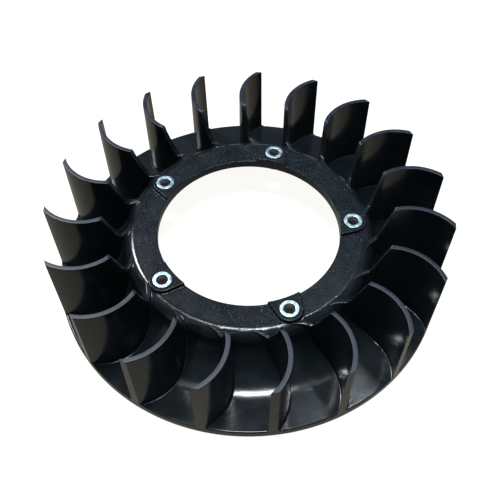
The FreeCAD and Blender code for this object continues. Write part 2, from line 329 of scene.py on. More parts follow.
def finish_with(tree, **inputs):
    """Ends a tree with a principled shader of the given inputs, joined to the output."""
    shader = add_node(tree, "ShaderNodeBsdfPrincipled", None, **inputs)
    add_node(tree, "ShaderNodeOutputMaterial", None, Surface=shader.outputs["BSDF"])
    print(len(tree.nodes), "nodes in the finish")


print("middle grey #808080 is %.3f in linear light" % linear("#808080")[0])

# %% [markdown]
# ### Glossy nylon of the air path
# Glass-filled nylon 6, injection moulded against polished steel, black with a blue-green cast.
# To the eye that gives a dark glossy skin: reflections bend in slow waves where the wall shrank
# as it cooled, a fine orange peel breaks them up, pale dust sits in the hollows, and near the
# shoulder, where the gate flash was trimmed, the skin is rippled in patches.

# %% Glossy nylon
BAND_IN = (FLAT, FLAT + 1.5 * MM)
BAND_OUT = (FLAT + 6.5 * MM, FLAT + 9.0 * MM)
GATE_SIDE = (-52 * MM, -42 * MM)


def nylon_gloss():
    """Near black, with slow waves, orange peel, dust and a trimmed band by the shoulder."""
    finish, tree, place = new_finish("moulded_nylon_gloss")
    clouds = add_node(tree, "ShaderNodeTexNoise", None, Vector=place, Scale=1 / (22 * MM),
                      Detail=4.0, Roughness=0.55)
    peel = add_node(tree, "ShaderNodeTexNoise", None, Vector=place, Scale=1 / (3 * MM))
    dust = add_node(tree, "ShaderNodeTexNoise", None, Vector=place, Scale=1 / (0.9 * MM),
                    Roughness=0.7)
    cloudy = add_node(tree, "ShaderNodeMapRange", SMOOTH, Value=clouds, From_Min=0.35,
                      From_Max=0.65)
    dusty = add_node(tree, "ShaderNodeMapRange", SMOOTH, Value=dust, From_Min=0.62,
                     From_Max=0.80, To_Max=0.30)
    tint = add_node(tree, "ShaderNodeMix", COLOUR, Factor=cloudy, i6=linear("#0e1316"),
                    i7=linear("#14191d"))
    colour = add_node(tree, "ShaderNodeMix", COLOUR, Factor=dusty, i6=tint, i7=linear("#2c343a"))
    gloss = add_node(tree, "ShaderNodeMapRange", SMOOTH, Value=clouds, From_Min=0.3,
                     From_Max=0.7, To_Min=0.13, To_Max=0.21)
    flat = add_node(tree, "ShaderNodeVectorMath", TIMES, i0=place, i1=(1.0, 1.0, 0.0))
    away = add_node(tree, "ShaderNodeVectorMath", {"operation": "LENGTH"}, i0=flat)
    begins = add_node(tree, "ShaderNodeMapRange", SMOOTH, Value=away, From_Min=BAND_IN[0],
                      From_Max=BAND_IN[1])
    ends = add_node(tree, "ShaderNodeMapRange", SMOOTH, Value=away, From_Min=BAND_OUT[0],
                    From_Max=BAND_OUT[1], To_Min=1.0, To_Max=0.0)
    spread = add_node(tree, "ShaderNodeTexNoise", None, Vector=place, Scale=1 / (16 * MM))
    patches = add_node(tree, "ShaderNodeMapRange", SMOOTH, Value=spread, From_Min=0.42,
                       From_Max=0.55)
    axes = add_node(tree, "ShaderNodeSeparateXYZ", None, Vector=place)
    gate_side = add_node(tree, "ShaderNodeMapRange", SMOOTH, Value=axes.outputs["Y"],
                         From_Min=GATE_SIDE[0], From_Max=GATE_SIDE[1], To_Min=1.0, To_Max=0.0)
    ripple = add_node(tree, "ShaderNodeTexNoise", None, Vector=place, Scale=1 / (1.7 * MM),
                      Detail=3.0, Roughness=0.6, Distortion=0.8)
    band = add_node(tree, "ShaderNodeMath", TIMES, i0=begins, i1=ends)
    gated = add_node(tree, "ShaderNodeMath", TIMES, i0=band, i1=gate_side)
    trimmed = add_node(tree, "ShaderNodeMath", TIMES, i0=gated, i1=patches)
    rippled = add_node(tree, "ShaderNodeMath", TIMES, i0=trimmed, i1=ripple)
    waves = add_node(tree, "ShaderNodeBump", None, Height=clouds, Distance=0.20 * MM)
    skin = add_node(tree, "ShaderNodeBump", None, Height=peel, Distance=0.010 * MM, Normal=waves)
    cut = add_node(tree, "ShaderNodeBump", None, Height=rippled, Distance=0.20 * MM, Normal=skin)
    finish_with(tree, Base_Color=colour, Roughness=gloss, IOR=1.50, Specular_IOR_Level=0.36,
                Normal=cut)
    return finish


GLOSS = nylon_gloss()

# %% [markdown]
# ### Dull nylon of the hub ring
# The same nylon moulded against a spark-eroded tool face, then rubbed by hands and by the boss
# it sits on. To the eye that gives a soft blue-grey bloom instead of a mirror, a fine grain,
# small pale pits in drifts, and long faint scuffs.

# %% Dull nylon
def nylon_satin():
    """Blue-grey black with a fine grain, pale pits in drifts and handling scuffs."""
    finish, tree, place = new_finish("moulded_nylon_satin")
    grain = add_node(tree, "ShaderNodeTexNoise", None, Vector=place, Scale=1 / (0.8 * MM),
                     Detail=3.0, Roughness=0.65)
    clouds = add_node(tree, "ShaderNodeTexNoise", None, Vector=place, Scale=1 / (14 * MM),
                      Detail=4.0, Roughness=0.6)
    drawn = add_node(tree, "ShaderNodeMapping", None, Vector=place, Scale=(1.0, 6.0, 1.0),
                     Rotation=(0.0, 0.0, 0.6))
    scuffs = add_node(tree, "ShaderNodeTexNoise", None, Vector=drawn, Scale=1 / (5 * MM),
                      Detail=5.0, Roughness=0.7, Distortion=0.6)
    pits = add_node(tree, "ShaderNodeTexVoronoi", None, Vector=place, Scale=1 / (1.9 * MM))
    drift = add_node(tree, "ShaderNodeTexNoise", None, Vector=place, Scale=1 / (9 * MM))
    cloudy = add_node(tree, "ShaderNodeMapRange", SMOOTH, Value=clouds, From_Min=0.35,
                      From_Max=0.65)
    grainy = add_node(tree, "ShaderNodeMapRange", SMOOTH, Value=grain, From_Min=0.50,
                      From_Max=0.68, To_Max=0.75)
    small = add_node(tree, "ShaderNodeMapRange", SMOOTH, Value=pits, From_Min=0.12,
                     From_Max=0.25, To_Min=1.0, To_Max=0.0)
    where = add_node(tree, "ShaderNodeMapRange", SMOOTH, Value=drift, From_Min=0.42,
                     From_Max=0.62, To_Max=0.6)
    pitted = add_node(tree, "ShaderNodeMath", TIMES, i0=small, i1=where)
    worn = add_node(tree, "ShaderNodeMapRange", SMOOTH, Value=scuffs, From_Min=0.60,
                    From_Max=0.74, To_Max=0.4)
    tint = add_node(tree, "ShaderNodeMix", COLOUR, Factor=cloudy, i6=linear("#090d11"),
                    i7=linear("#0e1318"))
    speckled = add_node(tree, "ShaderNodeMix", COLOUR, Factor=grainy, i6=tint,
                        i7=linear("#2a3138"))
    dotted = add_node(tree, "ShaderNodeMix", COLOUR, Factor=pitted, i6=speckled,
                      i7=linear("#4c5660"))
    colour = add_node(tree, "ShaderNodeMix", COLOUR, Factor=worn, i6=dotted, i7=linear("#20262d"))
    dull = add_node(tree, "ShaderNodeMapRange", SMOOTH, Value=clouds, From_Min=0.3,
                    From_Max=0.7, To_Min=0.21, To_Max=0.29)
    waves = add_node(tree, "ShaderNodeBump", None, Height=clouds, Distance=0.15 * MM)
    texture = add_node(tree, "ShaderNodeBump", None, Height=grain, Distance=0.04 * MM,
                       Normal=waves)
    holes = add_node(tree, "ShaderNodeBump", None, Height=pitted, Distance=0.05 * MM,
                     Normal=texture)
    finish_with(tree, Base_Color=colour, Roughness=dull, IOR=1.50, Specular_IOR_Level=0.24,
                Normal=holes)
    return finish


SATIN = nylon_satin()

# %% [markdown]
# ### Nylon of the blade tops, with a painted sky sheen
# The level tops of the blades get their own copy of the nylon. It is rougher, and it is painted
# a lighter blue-grey than the sides as a painted reflection of the cool sky above, with a little
# grain.

# %% Nylon tops with a painted sky sheen
def nylon_top_painted_sheen():
    """The same nylon, rougher, painted lighter and bluer on the blades' level tops as a painted
    sky reflection.
    """
    finish, tree, place = new_finish("nylon_top_painted_sky_sheen")
    grain = add_node(tree, "ShaderNodeTexNoise", None, Vector=place, Scale=1 / (0.8 * MM),
                     Detail=3.0, Roughness=0.6)
    clouds = add_node(tree, "ShaderNodeTexNoise", None, Vector=place, Scale=1 / (9 * MM),
                      Detail=3.0, Roughness=0.6)
    cloudy = add_node(tree, "ShaderNodeMapRange", SMOOTH, Value=clouds, From_Min=0.35,
                      From_Max=0.65)
    grainy = add_node(tree, "ShaderNodeMapRange", SMOOTH, Value=grain, From_Min=0.55,
                      From_Max=0.70, To_Max=0.4)
    # painted reflection: the tops are tinted lighter and bluer than the glossy sides, standing in
    # for the cool sky they mirror
    tint = add_node(tree, "ShaderNodeMix", COLOUR, Factor=cloudy, i6=linear("#0e151f"),
                    i7=linear("#182130"))
    colour = add_node(tree, "ShaderNodeMix", COLOUR, Factor=grainy, i6=tint, i7=linear("#2f3743"))
    dry = add_node(tree, "ShaderNodeMapRange", SMOOTH, Value=clouds, From_Min=0.3,
                   From_Max=0.7, To_Min=0.34, To_Max=0.46)
    top_grain_bump = add_node(tree, "ShaderNodeBump", None, Height=grain, Distance=0.02 * MM)
    finish_with(tree, Base_Color=colour, Roughness=dry, IOR=1.50, Specular_IOR_Level=0.36,
                Normal=top_grain_bump)
    return finish


EDGE = nylon_top_painted_sheen()

# %% [markdown]
# ### Zinc plate of the sleeves
# The sleeves are turned from steel bar and barrel plated with bright zinc. To the eye that
# gives a pale blue-white metal, a little milky, with faint stains and the grain of the turning.

# %% Zinc plate
def zinc_plate():
    """Bright zinc over turned steel: blue-white, with fine grain and stains."""
    finish, tree, place = new_finish("zinc_plated_steel")
    stain = add_node(tree, "ShaderNodeTexNoise", None, Vector=place, Scale=1 / (2.2 * MM),
                     Detail=4.0, Roughness=0.6)
    grain = add_node(tree, "ShaderNodeTexNoise", None, Vector=place, Scale=1 / (0.35 * MM))
    stained = add_node(tree, "ShaderNodeMapRange", SMOOTH, Value=stain, From_Min=0.40,
                       From_Max=0.65)
    colour = add_node(tree, "ShaderNodeMix", COLOUR, Factor=stained, i6=linear("#9ab4be"),
                      i7=linear("#c6dce4"))
    milky = add_node(tree, "ShaderNodeMapRange", SMOOTH, Value=stain, From_Min=0.3,
                     From_Max=0.7, To_Min=0.30, To_Max=0.46)
    turned_skin = add_node(tree, "ShaderNodeBump", None, Height=grain, Distance=0.012 * MM)
    finish_with(tree, Base_Color=colour, Roughness=milky, Metallic=1.0, Normal=turned_skin)
    return finish


ZINC = zinc_plate()

# %% [markdown]
# ### Painted shade inside the sleeves
# Down a 6.6 mm hole the wall falls into shade, and this shade is painted into its colour. The
# mouth of the hole is grey-blue metal, and a few millimetres down it is painted dark steel that
# barely shines. Height alone decides the share, so one ramp on the height gives it.

# %% Painted shade in the sleeve holes
# depth over which the painted shade darkens the hole
SHADE_DEPTH = 6.0 * MM


def hole_painted_shade():
    """Dark, rough steel painted as shade down the hole, turning lighter grey-blue near its mouth.
    """
    finish, tree, place = new_finish("sleeve_hole_painted_shade")
    stain = add_node(tree, "ShaderNodeTexNoise", None, Vector=place, Scale=1 / (1.4 * MM),
                     Detail=4.0, Roughness=0.6)
    stained = add_node(tree, "ShaderNodeMapRange", SMOOTH, Value=stain, From_Min=0.40,
                       From_Max=0.65)
    axes = add_node(tree, "ShaderNodeSeparateXYZ", None, Vector=place)
    mouth = add_node(tree, "ShaderNodeMapRange", SMOOTH, Value=axes.outputs["Z"],
                     From_Min=SLEEVE_HIGH - SHADE_DEPTH, From_Max=SLEEVE_HIGH - 1 * MM,
                     To_Max=0.9)
    # painted shade: a dark steel colour down the hole, mixed to a lighter grey-blue at its mouth
    steel = add_node(tree, "ShaderNodeMix", COLOUR, Factor=stained, i6=linear("#3b3a40"),
                     i7=linear("#666b76"))
    colour = add_node(tree, "ShaderNodeMix", COLOUR, Factor=mouth, i6=steel,
                      i7=linear("#c6d2d8"))
    rough = add_node(tree, "ShaderNodeMapRange", SMOOTH, Value=stain, From_Min=0.3,
                     From_Max=0.7, To_Min=0.40, To_Max=0.60)
    finish_with(tree, Base_Color=colour, Roughness=rough, Metallic=1.0)
    return finish


HOLE_SHADE = hole_painted_shade()

# %% [markdown]
# ## Rim lip
# The rim is turned down into a short lip that stiffens the dish. It could be a rounded box swept
# round the axis; a turned profile is simpler, and its corner radii stay exact. Its inner face
# meets the floor inside the moulding, and every turned piece has the same steps round the axis,
# so the joint doesn't show.

# %% Rim lip
LIP_IN = RIM - WALL
LIP_ROUND = 0.8 * MM
TOE_ROUND = 0.5 * MM


def rim_lip():
    """Lip in section: floor level, a rounded edge, the outer face, two soft toes."""
    floor_low = FLOOR - WALL
    top, outer, toe = (LIP_IN, FLOOR), (RIM, FLOOR), (RIM, 0.0)
    heel, inner = (LIP_IN, 0.0), (LIP_IN, floor_low)
    edge = soften(top, outer, toe, LIP_ROUND, 7)
    outer_toe = soften(outer, toe, heel, TOE_ROUND)
    inner_toe = soften(toe, heel, inner, TOE_ROUND)
    return turned("rim_lip_skin", [side(top, edge[0]), edge, side(edge[-1], outer_toe[0]),
                                   outer_toe, side(outer_toe[-1], inner_toe[0]), inner_toe,
                                   side(inner_toe[-1], inner), side(inner, top)])


skin = settle(rim_lip(), [GLOSS], "fan_plastic", "rim_lip")
print("rim lip:", len(skin.data.polygons), "faces")

# %% [markdown]
# ## Dish floor
# The floor is a level plate with the lower half of the hollow curve at its inner edge, an even
# 3 mm thick. The underside could be left flat, but a real moulding keeps one wall thickness so
# that it doesn't sink, so the lower line is the upper one moved along its own radius.

# %% Dish floor
HOLLOW_STEPS = 26
hollow_centre = (FLOOR_START, HOLLOW_Z)
under_hollow = HOLLOW + WALL


def dish_floor():
    """Floor in section: half the hollow curve, the level floor, and the same below."""
    down, cut = -np.pi / 2, -np.pi / 2 - SPLIT
    upper = arc(hollow_centre, HOLLOW, cut, down, HOLLOW_STEPS)
    lower = arc(hollow_centre, under_hollow, down, cut, HOLLOW_STEPS)
    low = FLOOR - WALL
    return turned("dish_floor_skin", [upper, side(upper[-1], (LIP_IN, FLOOR)),
                                      side((LIP_IN, FLOOR), (LIP_IN, low)),
                                      side((LIP_IN, low), lower[0]), lower,
                                      side(lower[-1], upper[0])])


skin = settle(dish_floor(), [GLOSS], "fan_plastic", "dish_floor")
print("dish floor:", len(skin.data.polygons), "faces")

# %% [markdown]
# ## Hub wall
# The steep wall climbs from the hollow to the hub and rolls over into the shoulder, whose
# polished curve carries the brightest line of the whole fan. A bevel would give only a few flat
# bands there, so the shoulder is its own arc, and it touches the hollow curve in one tangent.

# %% Hub wall
INNER_ROUND = 1.5 * MM         # room kept for the soft corner under the shoulder
UNDER_ROUND = 1.2 * MM         # radius of that corner
WALL_STEPS = 20
shoulder_centre = (FLAT, SHOULDER_Z)


def hub_wall():
    """Wall in section: the rest of the shoulder, then the steep half of the hollow curve."""
    cut = 3 * np.pi / 2 - SPLIT
    shoulder = arc(shoulder_centre, SHOULDER, RING_END, TANGENT, WALL_STEPS)
    upper = arc(hollow_centre, HOLLOW, np.pi + TANGENT, cut, HOLLOW_STEPS)
    reach = np.arcsin((HOLLOW_Z - RING_LOW + INNER_ROUND) / under_hollow)
    lower = arc(hollow_centre, under_hollow, cut, np.pi + reach, HOLLOW_STEPS)
    corner = (lower[-1][0], RING_LOW)
    under = soften(lower[-1], corner, (RING_EDGE, RING_LOW), UNDER_ROUND)
    return turned("hub_wall_skin", [shoulder, upper, side(upper[-1], lower[0]), lower, under,
                                    side(under[-1], (RING_EDGE, RING_LOW)),
                                    side((RING_EDGE, RING_LOW), shoulder[0])])


skin = settle(hub_wall(), [GLOSS], "fan_plastic", "hub_wall")
print("hub wall:", len(skin.data.polygons), "faces")

# %% [markdown]
# ## Hub ring
# The ring is a flat washer with soft bore edges and five holes for the sleeves. Its outer edge
# is already part of the polished shoulder. The washer is turned like the rest, and the holes are
# cut with a Boolean, which is the plain way to get a round hole through a ring of another axis.
# Its flats stay flat by an angle limit on smoothing.

# %% Hub ring
BORE_ROUND = 0.45 * MM
RING_STEPS = 12
DRILL_PAST = 1.0 * MM          # how far a drill reaches past each face
DRILL_CORE = 0.001 * MM        # a drill's bore along its own axis, next to nothing
DRILL_STEPS = 64
FACE_ANGLE = np.radians(30)    # faces that meet at more than this are shaded apart
SLEEVE_ANGLES = FIRST_SLEEVE + np.arange(SLEEVES) * 2 * np.pi / SLEEVES


def sleeve_centre(angle):
    """The place of a bolt on its circle."""
    return BOLT_CIRCLE * np.cos(angle), BOLT_CIRCLE * np.sin(angle)


def washer():
    """Ring in section: the shoulder's first part, the flat, the soft bore edges."""
    shoulder = arc(shoulder_centre, SHOULDER, RING_END, np.pi / 2, RING_STEPS)
    inner_top, inner_low = (BORE, RING_TOP), (BORE, RING_LOW)
    outer_low = (RING_EDGE, RING_LOW)
    top = soften(shoulder[-1], inner_top, inner_low, BORE_ROUND)
    low = soften(inner_top, inner_low, outer_low, BORE_ROUND)
    return turned("hub_ring_skin", [shoulder, side(shoulder[-1], top[0]), top,
                                    side(top[-1], low[0]), low, side(low[-1], outer_low),
                                    side(outer_low, shoulder[0])])


def drill_hole(ring, angle):
    """Takes an upright cylinder out of the ring at a bolt."""
    low, high = RING_LOW - DRILL_PAST, RING_TOP + DRILL_PAST
    drill = turned("drill", [side((DRILL_CORE, low), (SLEEVE_RADIUS, low)),
                             side((SLEEVE_RADIUS, low), (SLEEVE_RADIUS, high)),
                             side((SLEEVE_RADIUS, high), (DRILL_CORE, high))],
                   DRILL_STEPS, sleeve_centre(angle))
    cut = ring.modifiers.new("hole", "BOOLEAN")
    cut.object = drill
    cut.solver = "EXACT"
    bpy.context.view_layer.objects.active = ring
    bpy.ops.object.modifier_apply(modifier=cut.name)
    bpy.data.objects.remove(drill)


def face_middles(mesh):
    """The middle of every face, as an array."""
    middles = np.empty(len(mesh.polygons) * 3)
    mesh.polygons.foreach_get("center", middles)
    return middles.reshape(-1, 3)


ring = washer()
for angle in SLEEVE_ANGLES:
    drill_hole(ring, angle)
ring.data.shade_smooth()
ring.data.set_sharp_from_angle(angle=FACE_ANGLE)
settle(ring, [SATIN, GLOSS], "fan_plastic", "hub_ring")
on_shoulder = np.linalg.norm(face_middles(ring.data)[:, :2], axis=1) > FLAT
ring.data.polygons.foreach_set("material_index", on_shoulder.astype(np.int32))
print("hub ring:", len(ring.data.polygons), "faces,", on_shoulder.sum(), "of them glossy")

# %% [markdown]
# ## Sleeve pads
# Round each sleeve the ring rises into a D-shaped pad: a round nose, straight sides that spread
# towards the bore, and a face that runs down flush with the bore. Seen from the sleeve's centre
# its edge is a distance for each direction, the least of three: to the nose's circle, to the
# slanted side and to the bore. Blending the least of them softly rounds the corners.

# %% Pads
PAD_ROUND = 0.5 * MM
PAD_FILLET = 0.7 * MM
PAD_CORNER = 1.2 * MM
PAD_ANGLE = np.radians(35)
FAR = 1.0                      # stands for no bore in that direction
FLANK_MOST = np.radians(80)    # past this lean the slanted side is too far off to count


def soft_least(first, second, width):
    """The smaller of two values, with a parabola of that width where they cross."""
    near = np.clip(width - np.abs(first - second), 0, None) / width
    return np.minimum(first, second) - near ** 2 * width / 4


def pad_edge(steps=240):
    """The pad's edge about its sleeve, and its outward normals, in the sleeve's own axes."""
    turn = np.linspace(0, 2 * np.pi, steps, endpoint=False)
    lean = np.abs((turn + np.pi) % (2 * np.pi) - np.pi) - (np.pi / 2 - PAD_FLARE)
    flank = PAD_NOSE / np.cos(np.clip(lean, 0, FLANK_MOST))
    along = BOLT_CIRCLE * np.cos(turn)
    root = along ** 2 - BOLT_CIRCLE ** 2 + BORE ** 2
    facing_bore = (np.cos(turn) < 0) & (root > 0)
    towards = np.where(facing_bore, -along - np.sqrt(np.clip(root, 0, None)), FAR)
    reach = soft_least(flank, towards, PAD_CORNER)
    edge = np.stack([reach * np.cos(turn), reach * np.sin(turn)], 1)
    run = np.roll(edge, -1, 0) - np.roll(edge, 1, 0)
    normal = np.stack([run[:, 1], -run[:, 0]], 1)
    return edge, normal / np.linalg.norm(normal, axis=1)[:, None]


print("pad: %.1f mm across" % (np.ptp(pad_edge()[0][:, 1]) / MM))

# %% Pad surface
OVERLAP = 0.02 * MM            # how far a pad passes the ring's own faces, so that none coincide
PAD_ROOT = 0.5 * MM            # how deep its closing faces lie under the ring's top
QUARTER_STEPS = 6
FLAT_SHARES = (0.12, 0.5, 0.9)
HOLE_MARGIN = 1.01             # the flat's rows aim just outside the hole


def sleeve_pad(number, angle):
    """Rings of the pad's edge: foot fillet, side, soft rim, flat top, then down the hole."""
    edge, normal = pad_edge()
    quarter = np.linspace(0, np.pi / 2, QUARTER_STEPS)
    out = np.concatenate([PAD_FILLET * (1 - np.sin(quarter)),
                          -PAD_ROUND * (1 - np.cos(quarter))])
    rows = [edge + normal * shift for shift in out]
    hole = edge / np.linalg.norm(edge, axis=1)[:, None] * SLEEVE_RADIUS
    inner = rows[-1]
    for share in FLAT_SHARES:
        rows.append(inner + (hole * HOLE_MARGIN - inner) * share)
    rows += [hole, hole, rows[0]]
    flat = np.stack(rows)
    across = flat[..., 0] + BOLT_CIRCLE
    world = np.stack([across * np.cos(angle) - flat[..., 1] * np.sin(angle),
                      across * np.sin(angle) + flat[..., 1] * np.cos(angle)], -1)
    distance = np.linalg.norm(world, axis=-1, keepdims=True)
    world *= np.maximum(1, (BORE - OVERLAP) / distance)
    foot = dish_lift(distance, 0.0)
    flats = len(FLAT_SHARES) + 1
    rise = np.concatenate([PAD_FILLET * (1 - np.cos(quarter)) - OVERLAP,
                           np.zeros(QUARTER_STEPS + flats), [-PAD_ROOT] * 2])[:, None, None]
    level = np.concatenate([np.zeros(QUARTER_STEPS), PAD_TOP - PAD_ROUND * (1 - np.sin(quarter)),
                            [PAD_TOP] * flats, [0] * 2])[:, None, None]
    grid = np.concatenate([world, np.where(level > 0, level, foot + rise)], -1)
    pad = build("sleeve_pad_%d" % number, grid, grid_quads(len(grid), grid.shape[1], True, True))
    pad.data.set_sharp_from_angle(angle=PAD_ANGLE)
    return pad


for number, angle in enumerate(SLEEVE_ANGLES, start=1):
    pad = settle(sleeve_pad(number, angle), [SATIN], "fan_plastic")
print("pads:", len(pad.data.polygons), "faces each")

# %% [markdown]
# ## Blades
# A blade is an upright wall along an arc. Its cross-section has a rounded top edge, sides with a
# little draft, and a fillet on each side where it stands on the dish. The fillet is what a ball
# leaves when it rolls along the corner: the ball's centre stays one radius from the blade and
# one radius above the dish, and the arc between its two points of touch is the surface.

# %% Blade formulas
ROOT_BALL = 0.9 * MM           # radius of the fillet on the dish
TOP_ROUND = 0.3 * MM           # radius of the level top's edges
RIB_ROUND = 0.9 * MM           # radius of the same edges along the slope and the low rib
RIB_FALL = 3.0 * MM            # the first turns to the second over this much height
KEEL = 0.9 * MM                # how deep the closing strip lies under the dish
TOP_BLEND = 1.2 * MM
ROOM_LEAST = 0.02 * MM         # least height of a blade above the dish
ROOM_SHARE = 0.4               # most of that height that a fillet or a rounded edge takes
STEEP_SHARE = 0.9              # how much of the slope's steepness stretches the edge
STEEP_STEP = 0.1 * MM


def soft_most(first, second, width):
    """The larger of two values, softened where they cross."""
    return -soft_least(-first, -second, width)


def blade_crest(radius):
    """Height of the top edge: level, then a straight slope down to the ring's level."""
    slope = RING_TOP + (radius - FOOT) * (BLADE_TOP - RING_TOP) / (CORNER - FOOT)
    return soft_least(BLADE_TOP, soft_most(RING_TOP, slope, TOP_BLEND), TOP_BLEND)


def wall_half(height):
    """Half the blade's thickness at a height: half its top, plus the draft of the depth."""
    return BLADE_HALF + (BLADE_TOP - height) * DRAFT


def beside_arc(angle, offset):
    """Plan places an offset outside the blade's arc, and their distance from the axis."""
    size = BLADE_ARC + offset
    place = np.stack([ARC_PLACE + size * np.cos(angle), size * np.sin(angle)], -1)
    return place, np.linalg.norm(place, axis=-1)


def raised(place, height):
    """Joins plan places and heights into points."""
    return np.concatenate([place, height[..., None]], -1)


print("crest at 75, 82 and 100 mm:",
      [round(float(blade_crest(reach * MM)) / MM, 1) for reach in (75, 82, 100)])

# %% One side of a blade
# Each column of the grid has its share of the fillet, of the wall and of the rounded top edge.
WALL_SHARES = (0.03, 0.35, 0.65, 0.97)
IN_ROOT, IN_SIDE, IN_CROWN = 9, len(WALL_SHARES), 6   # columns of each
FILLET = np.concatenate([[0], np.linspace(0, 1, IN_ROOT - 1), np.ones(IN_SIDE + IN_CROWN)])
RISE = np.concatenate([np.zeros(IN_ROOT), WALL_SHARES, np.ones(IN_CROWN)])
CROWN = np.concatenate([np.zeros(IN_ROOT + IN_SIDE), np.linspace(0, 1, IN_CROWN)]) * np.pi / 2
COLUMNS = len(CROWN)
IS_KEEL = np.arange(COLUMNS) < 1
IS_FILLET = np.arange(COLUMNS) < IN_ROOT
IS_WALL = np.arange(COLUMNS) < IN_ROOT + IN_SIDE


def blade_side(sign, angle):
    """Points up one side of a blade, one column per share, at angles along its arc.

    Fillet: ball centre plus ball radius times a direction that turns from the dish's normal
    to the wall's. Wall: the drafted half thickness. Crown: a quarter circle onto the top,
    small along the level top and larger down the slope, drawn out by the slope's steepness.
    """
    half = np.full(angle.shape, BLADE_HALF)
    for _ in range(3):
        floor = dish_lift(beside_arc(angle, sign * half)[1], 0.0)
        half = wall_half(floor)
    away = beside_arc(angle, sign * half)[1]
    crest = blade_crest(away)
    room = np.clip(crest - floor, ROOM_LEAST, None)
    ball = np.minimum(ROOT_BALL, room * ROOM_SHARE)
    climb = blade_crest(away + STEEP_STEP) - blade_crest(away - STEEP_STEP)
    stretch = np.sqrt(1 + (STEEP_SHARE * climb / (2 * STEEP_STEP)) ** 2)
    fallen = np.clip((BLADE_TOP - crest) / RIB_FALL, 0, 1)
    edge = TOP_ROUND + (RIB_ROUND - TOP_ROUND) * fallen
    edge = np.minimum(edge, room * ROOM_SHARE / stretch)
    drop = edge * stretch
    centre, radius = beside_arc(angle, sign * (half + ball))
    lift = dish_lift(radius, ball)
    out, up = dish_normal(radius, ball)
    to_wall = raised(-sign * np.stack([np.cos(angle), np.sin(angle)], -1), 0 * lift)
    to_dish = -raised(centre * (out / radius)[..., None], up)
    span = np.arccos(np.clip((to_wall * to_dish).sum(-1), -0.999, 0.999))[..., None]
    share = FILLET[:, None]
    turn = (np.sin((1 - share) * span) * to_dish + np.sin(share * span) * to_wall) / np.sin(span)
    root = raised(centre, lift) + (ball + KEEL * IS_KEEL)[..., None] * turn
    height = lift + (crest - drop - lift) * RISE
    wall = raised(beside_arc(angle, sign * wall_half(height))[0], height)
    inset = wall_half(crest - drop) - edge * (1 - np.cos(CROWN))
    place, radius = beside_arc(angle, sign * inset)
    crown = raised(place, blade_crest(radius) - drop * (1 - np.sin(CROWN)))
    kinds = [IS_FILLET[:, None], IS_WALL[:, None]]
    return np.select([np.broadcast_to(kind, root.shape) for kind in kinds], [root, wall], crown)


print("a blade's side has", COLUMNS, "columns of points")

# %% Whole surface of a blade
TIP_INSET = 0.02 * MM          # a blade ends this far inside the rim
SEARCH = 0.2                   # half the span, in radians, in which an end is looked for
HALVINGS = 30
SHEEN_BAND = 0.25 * MM        # a crest that is this near the full height gets the painted sky sheen
SHEEN_FACES = 3               # faces with the painted sky sheen on each side of the middle of the top


def meets(sign, radius):
    """Angle at which each column comes as near the axis as a radius, by halving a span."""
    cosine = (radius ** 2 - ARC_PLACE ** 2 - BLADE_ARC ** 2) / (2 * ARC_PLACE * BLADE_ARC)
    low = np.full((1, COLUMNS), np.arccos(cosine) - SEARCH)
    high = low + 2 * SEARCH
    for _ in range(HALVINGS):
        middle = (low + high) / 2
        beyond = np.linalg.norm(blade_side(sign, middle)[..., :2], axis=-1) > radius
        low, high = np.where(beyond, middle, low), np.where(beyond, high, middle)
    return middle


def blade_surface(stations=110):
    """Both sides joined over the top and under the keel, closed by a face at each end."""
    share = np.linspace(0, 1, stations)[:, None]
    sides = []
    for sign in (-1, 1):
        start, end = meets(sign, RIM - TIP_INSET), meets(sign, NOSE)
        sides.append(blade_side(sign, start + (end - start) * share))
    grid = np.concatenate([sides[0], sides[1][:, ::-1]], 1)
    rows, columns = grid.shape[:2]
    quads = grid_quads(rows, columns, False, True)
    # mask of the level tops that get the painted sky sheen
    level = grid[:-1, COLUMNS, 2] > BLADE_TOP - SHEEN_BAND
    slots = np.zeros((rows - 1, columns))
    slots[:, COLUMNS - 1 - SHEEN_FACES:COLUMNS + SHEEN_FACES] = level[:, None]
    caps = []
    for row in (0, rows - 1):
        first = row * columns + np.arange(COLUMNS)
        last = row * columns + columns - 1 - np.arange(COLUMNS)
        cap = np.stack([first[:-1], first[1:], last[1:], last[:-1]], 1)
        caps.append(cap if row == 0 else cap[:, ::-1])
    quads = np.concatenate([quads] + caps)
    slots = np.concatenate([slots.ravel(), np.zeros(2 * (COLUMNS - 1))])
    return grid, quads, slots


blade_grid, blade_quads, blade_slots = blade_surface()
blade_columns = blade_grid.shape[1]
print("blade surface:", len(blade_quads), "faces")

# %% All the blades
END_ROUND = 0.3 * MM


def turn_about_axis(points, angle):
    """Rotation about the fan's axis."""
    cosine, sine = np.cos(angle), np.sin(angle)
    x, y = points[..., 0], points[..., 1]
    return np.stack([x * cosine - y * sine, x * sine + y * cosine, points[..., 2]], -1)


def blade(number, angle):
    """A blade turned to its place, with a narrow bevel round its face at the rim."""
    piece = build("blade_skin_%02d" % number, turn_about_axis(blade_grid, angle),
                  blade_quads, blade_slots)
    mesh = piece.data
    ends = np.empty(len(mesh.edges) * 2, np.int32)
    mesh.edges.foreach_get("vertices", ends)
    ends = ends.reshape(-1, 2)
    gap = np.abs(ends[:, 0] - ends[:, 1])
    rim = (ends < blade_columns).all(1) & ((gap == 1) | (gap == blade_columns - 1))
    weight = mesh.attributes.new("bevel_weight_edge", "FLOAT", "EDGE")
    weight.data.foreach_set("value", rim.astype(np.float32))
    bevel = piece.modifiers.new("rim_face_edge", "BEVEL")
    bevel.limit_method = "WEIGHT"
    bevel.width = END_ROUND
    bevel.segments = 2
    bevel.harden_normals = True
    return piece


